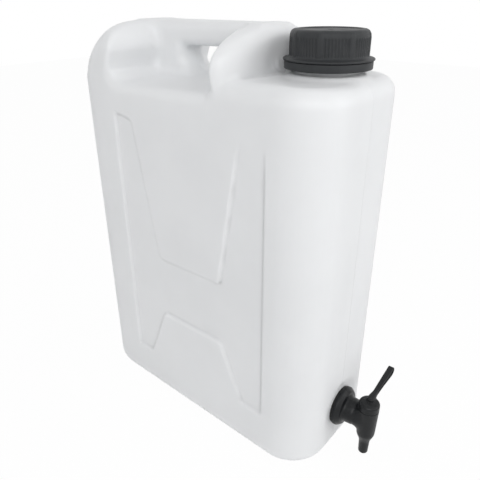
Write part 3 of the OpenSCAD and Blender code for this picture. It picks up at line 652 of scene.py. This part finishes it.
black_cap_plastic = moulded_finish(
    "black_cap_plastic", colour=(0.033, 0.035, 0.037), deep=(0.027, 0.029, 0.031), cloud_scale=90,
    grain_scale=3200, grain_depth=0.00003, rough=0.5, rough_spread=0.12, specular=0.25)
cap.data.materials.append(black_cap_plastic)


# Cap liner
# Disc of white foamed polyethylene, punched from sheet and pressed into the top of the cap, with fine
# rings embossed on its face.
LINER_R, LINER_TOP, EMBOSS_DEPTH = 25.0, 378.6, 0.12
liner_face = [(r, MOUTH_Z + EMBOSS_DEPTH * (k % 2)) for k, r in enumerate(np.linspace(1, 20, 20))]
liner_profile = [
    (0.03, MOUTH_Z), *liner_face, (21, MOUTH_Z), (24.6, MOUTH_Z), (24.95, 377.15), (LINER_R, 377.5),
    (LINER_R, 378.2), (24.9, 378.5), (24.6, LINER_TOP), (12, LINER_TOP), (0.03, LINER_TOP)]
liner_rings, liner_quads = lathe(liner_profile, NECK_TURNS, NECK_AXIS)
liner = piece_from("foam_liner", liner_rings, liner_quads)
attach(liner, "liner")
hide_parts("cap_liner")
liner.data.materials.append(moulded_finish(
    "white_foam", colour=(0.85, 0.85, 0.82), deep=(0.80, 0.80, 0.77), cloud_scale=200, grain_scale=1800,
    grain_depth=0.00008, rough=0.7, rough_spread=0.1, specular=0.3))


# Tamper band
# Ring moulded with the cap and torn from it on the first opening. It stays on the neck under the locking
# bead, held by the hook inside it, with the stubs of its bridges on its upper edge.
BAND_LOW, BAND_HIGH, BAND_R, BAND_IN = 354.0, 359.8, 32.9, 29.1
band_profile = [
    (BAND_IN, BAND_HIGH - 0.2), (BAND_IN, 356.3), (25.9, 355.4), (25.7, 355.2), (25.7, 354.8), (25.9, 354.6),
    (BAND_IN, BAND_LOW), (BAND_R - 0.7, BAND_LOW), (BAND_R - 0.2, 354.2), (BAND_R, 354.7), (BAND_R, 356.4),
    (BAND_R, BAND_HIGH - 0.5), (BAND_R - 0.1, BAND_HIGH - 0.15), (BAND_R - 0.4, BAND_HIGH),
    (BAND_IN + 0.2, BAND_HIGH), (BAND_IN, BAND_HIGH - 0.2)]
band_rings, band_quads = lathe(band_profile, NECK_TURNS, NECK_AXIS)
band_corners, band_faces = list(band_rings), band_quads.tolist()
STUBS, STUB_R, STUB_HALF_T = 12, 31.25, 0.65
stub_faces = ((0, 1, 5, 4), (1, 2, 6, 5), (2, 3, 7, 6), (3, 0, 4, 7), (4, 5, 6, 7))
for k in range(STUBS):
    turn = GRIP_TURN + 2 * math.pi * (k + 0.5) / STUBS
    outward = np.array([math.cos(turn), math.sin(turn), 0])
    sideways = np.array([-math.sin(turn), math.cos(turn), 0])
    start = len(band_corners)
    for height, half_w in ((BAND_HIGH - 0.2, 0.9), (BAND_HIGH + 0.3, 0.45)):
        for o, s in ((-1, -1), (1, -1), (1, 1), (-1, 1)):
            band_corners.append(NECK_AXIS + outward * (STUB_R + o * STUB_HALF_T * (half_w + 0.1))
                                + sideways * s * half_w + np.array([0, 0, height]))
    band_faces += [[start + i for i in quad] for quad in stub_faces]
band = piece_from("tamper_ring", band_corners, band_faces)
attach(band, "can")
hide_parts("tamper_band")
band.data.materials.append(black_cap_plastic)


# Tap body
# Black moulding: a flange that tapers to its face, a threaded tail that screws into the port, a stem,
# and an upright barrel that narrows to the spout.
SEAT_Y, WASHER_T, DISC_Y, DISC_R, DISC_T, FACE_R, RIM_T = -138.5, 1.5, -147.4, 19.4, 7.4, 16.4, 3.4
DISC_EDGE_R, DISC_FILLET = 0.9, 2.2
TAIL_R, TAIL_END, TAIL_EDGE_R, TAIL_PITCH, TAIL_GROOVE = 13.2, -124.5, 0.8, 2.5, 0.7
STEM_R, STEM_END, STEM_END_R, WAY_R = 12.4, -165.0, 5.0, 4.6
BARREL_Y, BARREL_TOP, BARREL_FILLET, BORE_R, BORE_LOW = -168.5, 57.5, 4.5, 6.66, 27.0
SPOUT_LOW, SPOUT_EDGE_R, OUTLET_R = 2.5, 1.4, 3.0
BARREL_HEIGHTS = [SPOUT_LOW, 16, 18.2, 20.3, 22.5, 24.7, 26.8, 29, BARREL_TOP]
BARREL_RADII = [4.5, 5.0, 5.3, 5.9, 6.75, 7.65, 8.35, 8.6, 9.7]


def tap_body_form(x, y, z):
    """Below 0 inside the tap body: the flange, stem and barrel melt together, and the bores are cut last."""
    off_axis = np.hypot(x, z - TAP_Z)
    middle = DISC_Y + DISC_T / 2
    taper = np.clip((DISC_Y + DISC_T - RIM_T - y) / (DISC_T - RIM_T), 0, 1)
    disc = round_and(off_axis - DISC_R + (DISC_R - FACE_R) * taper, np.abs(y - middle) - DISC_T / 2,
                     DISC_EDGE_R)
    stem_r = STEM_R + 0.4 - 0.8 * np.clip((DISC_Y - y) / 10, 0, 1) - 0.35 * fade(156.2, 156.8, -y)
    stem = np.maximum(round_and(off_axis - stem_r, STEM_END - y, STEM_END_R), y - middle)
    barrel = round_and(np.hypot(x, y - BARREL_Y) - np.interp(z, BARREL_HEIGHTS, BARREL_RADII),
                       SPOUT_LOW - z, SPOUT_EDGE_R)
    barrel = round_and(barrel, z - BARREL_TOP, 0.3)
    turn = np.arctan2(z - TAP_Z, x) / (2 * math.pi)
    ridge = np.abs((y / TAIL_PITCH + turn) % 1 - 0.5) * 2
    tail_r = TAIL_R - TAIL_GROOVE * (1 - ridge) * (y > SEAT_Y + 1)
    tail = np.maximum(round_and(off_axis - tail_r, y - TAIL_END, TAIL_EDGE_R), middle - y)
    form = np.minimum(round_or(round_or(disc, stem, DISC_FILLET), barrel, BARREL_FILLET), tail)
    form = round_and(form, WAY_R - np.where(y > BARREL_Y, off_axis, 99), 0.3)
    off_plug = np.hypot(x, y - BARREL_Y)
    return np.maximum(form, np.where(z > BORE_LOW, BORE_R, OUTLET_R) - off_plug)


tap_shell, tap_quads = wrap(tap_body_form, grid_lines((-20.2, 20.2, 0.8)), grid_lines((-179.4, -123.4, 0.8)),
                            grid_lines((1.7, 65.2, 0.8)))
tap_body = piece_from("tap_moulding", tap_shell, tap_quads)
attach(tap_body, "can")
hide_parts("tap_body")
black_tap_plastic = moulded_finish(
    "black_tap_plastic", colour=(0.009, 0.010, 0.011), deep=(0.007, 0.008, 0.009), cloud_scale=120,
    grain_scale=3600, grain_depth=0.00003, rough=0.4, rough_spread=0.14, specular=0.25, line=0.00025)
tap_body.data.materials.append(black_tap_plastic)


# Tap washer
# Flat black rubber washer, squeezed between the tap's flange and the seat so that its edge bulges a little.
WASHER_IN, WASHER_R = 13.4, 18.6
washer_profile = [
    (WASHER_IN, SEAT_Y - 0.2), (WASHER_IN, SEAT_Y - WASHER_T + 0.2), (13.6, SEAT_Y - WASHER_T),
    (18.1, SEAT_Y - WASHER_T), (18.45, SEAT_Y - WASHER_T + 0.2), (WASHER_R, SEAT_Y - WASHER_T / 2),
    (18.45, SEAT_Y - 0.2), (18.1, SEAT_Y), (13.6, SEAT_Y), (WASHER_IN, SEAT_Y - 0.2)]
washer_rings, washer_quads = lathe(washer_profile, NECK_TURNS, 0)
washer_rings = np.stack([washer_rings[:, 0], washer_rings[:, 2], TAP_Z - washer_rings[:, 1]], -1)
washer = piece_from("rubber_washer", washer_rings, washer_quads)
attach(washer, "can")
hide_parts("tap_gasket")
washer.data.materials.append(moulded_finish(
    "black_rubber", colour=(0.02, 0.02, 0.02), deep=(0.03, 0.03, 0.03), cloud_scale=150, grain_scale=2400,
    grain_depth=0.00006, rough=0.75, rough_spread=0.1, specular=0.3))


# Tap plug and lever
# One black moulding: a low round head, a pin with the waterway that turns in the barrel, and a flat lever
# that sweeps up from the head and is hollowed in front to keep its walls even.
HEAD_Z, HEAD_R, HEAD_TOP, HEAD_DROP, HEAD_EDGE_R, HEAD_FOOT_R = 57.8, 9.7, 66.0, 1.2, 2.2, 0.6
PIN_R, PIN_LOW, PIN_EDGE_R = 6.6, 27.3, 0.5
LEVER_Z, LEVER_RISE, LEVER_L = 68.0, math.radians(13.5), 45.0
ROOT_T, TIP_T, BLADE_EDGE_R, ROOT_R, SWEEP_R = 3.8, 5.8, 0.7, 1.5, 7.0
LEVER_RIM, RIM_EDGE_R, HOLLOW, HOLLOW_START, HOLLOW_R = 1.1, 0.35, 1.4, 11, 0.8


def arc_points(centre, r, start, end, steps):
    """Points along an arc, from the start to the end turn in degrees."""
    turn = np.radians(np.linspace(start, end, steps + 1))
    return [(centre[0] + r * math.cos(t), centre[1] + r * math.sin(t)) for t in turn]


lever_outline = [(0, -5.2), (10, -5.2), (18, -5.0), (26, -5.8), (34, -6.9),
                 *arc_points((LEVER_L - 5, -2.5), 5, 265, 355, 8),
                 *arc_points((LEVER_L - 1.5, -1.5), 1.5, 10, 90, 4), (0, 0)]


def outline_distance(outline, u, w):
    """Distance from a closed outline, below 0 inside it."""
    nearest, inside = np.full(u.shape, 1e9), np.zeros(u.shape, bool)
    for (au, aw), (bu, bw) in zip(outline, outline[1:] + outline[:1]):
        du, dw = bu - au, bw - aw
        t = np.clip(((u - au) * du + (w - aw) * dw) / (du * du + dw * dw), 0, 1)
        nearest = np.minimum(nearest, np.hypot(u - au - t * du, w - aw - t * dw))
        if dw:
            inside ^= ((aw > w) != (bw > w)) & (u < au + du * (w - aw) / dw)
    return np.where(inside, -nearest, nearest)


def plug_form(x, y, z):
    """Below 0 inside the plug: u runs along the lever, w across its depth and v through its thickness."""
    off_plug = np.hypot(x, y - BARREL_Y)
    head_top = HEAD_TOP - HEAD_DROP * (off_plug / HEAD_R) ** 2
    head = round_and(round_and(off_plug - HEAD_R, z - head_top, HEAD_EDGE_R), HEAD_Z - z, HEAD_FOOT_R)
    pin = np.maximum(round_and(off_plug - PIN_R, PIN_LOW - z, PIN_EDGE_R), z - HEAD_Z - 1)
    bore = np.maximum(off_plug - WAY_R, z - TAP_Z - WAY_R - 2)
    port = np.maximum(np.hypot(y - BARREL_Y, z - TAP_Z) - WAY_R + 0.4, x)
    pin = np.maximum(pin, -np.minimum(bore, port))
    u = x * math.cos(LEVER_RISE) + (z - LEVER_Z) * math.sin(LEVER_RISE)
    w = (z - LEVER_Z) * math.cos(LEVER_RISE) - x * math.sin(LEVER_RISE)
    v = y - BARREL_Y
    half_t = (ROOT_T + (TIP_T - ROOT_T) * np.clip(u / LEVER_L, 0, 1)) / 2
    side = outline_distance(lever_outline, u, w)
    blade = round_and(side, np.abs(v) - half_t, BLADE_EDGE_R)
    hollow = round_and(side + LEVER_RIM, HOLLOW_START - u, HOLLOW_R)
    hollow = round_and(hollow, v + half_t - HOLLOW, HOLLOW_R / 2)
    blade = round_and(blade, -hollow, RIM_EDGE_R)
    root_r = ROOT_R + (SWEEP_R - ROOT_R) * fade(HEAD_TOP - 1.5, LEVER_Z + 1, z)
    return np.minimum(round_or(head, blade, root_r), pin)


lever_way = grid_lines((-10.2, 10.2, 0.6), (10.2, 46.2, 0.5))
thick_way = grid_lines((-178.7, -172.2, 0.6), (-172.2, -164.8, 0.4), (-164.8, -158.3, 0.6))
plug_heights = grid_lines((26.7, 57.1, 0.8), (57.1, 80.1, 0.5))
plug_shell, plug_quads = wrap(plug_form, lever_way, thick_way, plug_heights)
plug = piece_from("tap_plug_and_lever", plug_shell, plug_quads)
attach(plug, "plug")
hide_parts("tap_plug")
plug.data.materials.append(black_tap_plastic)
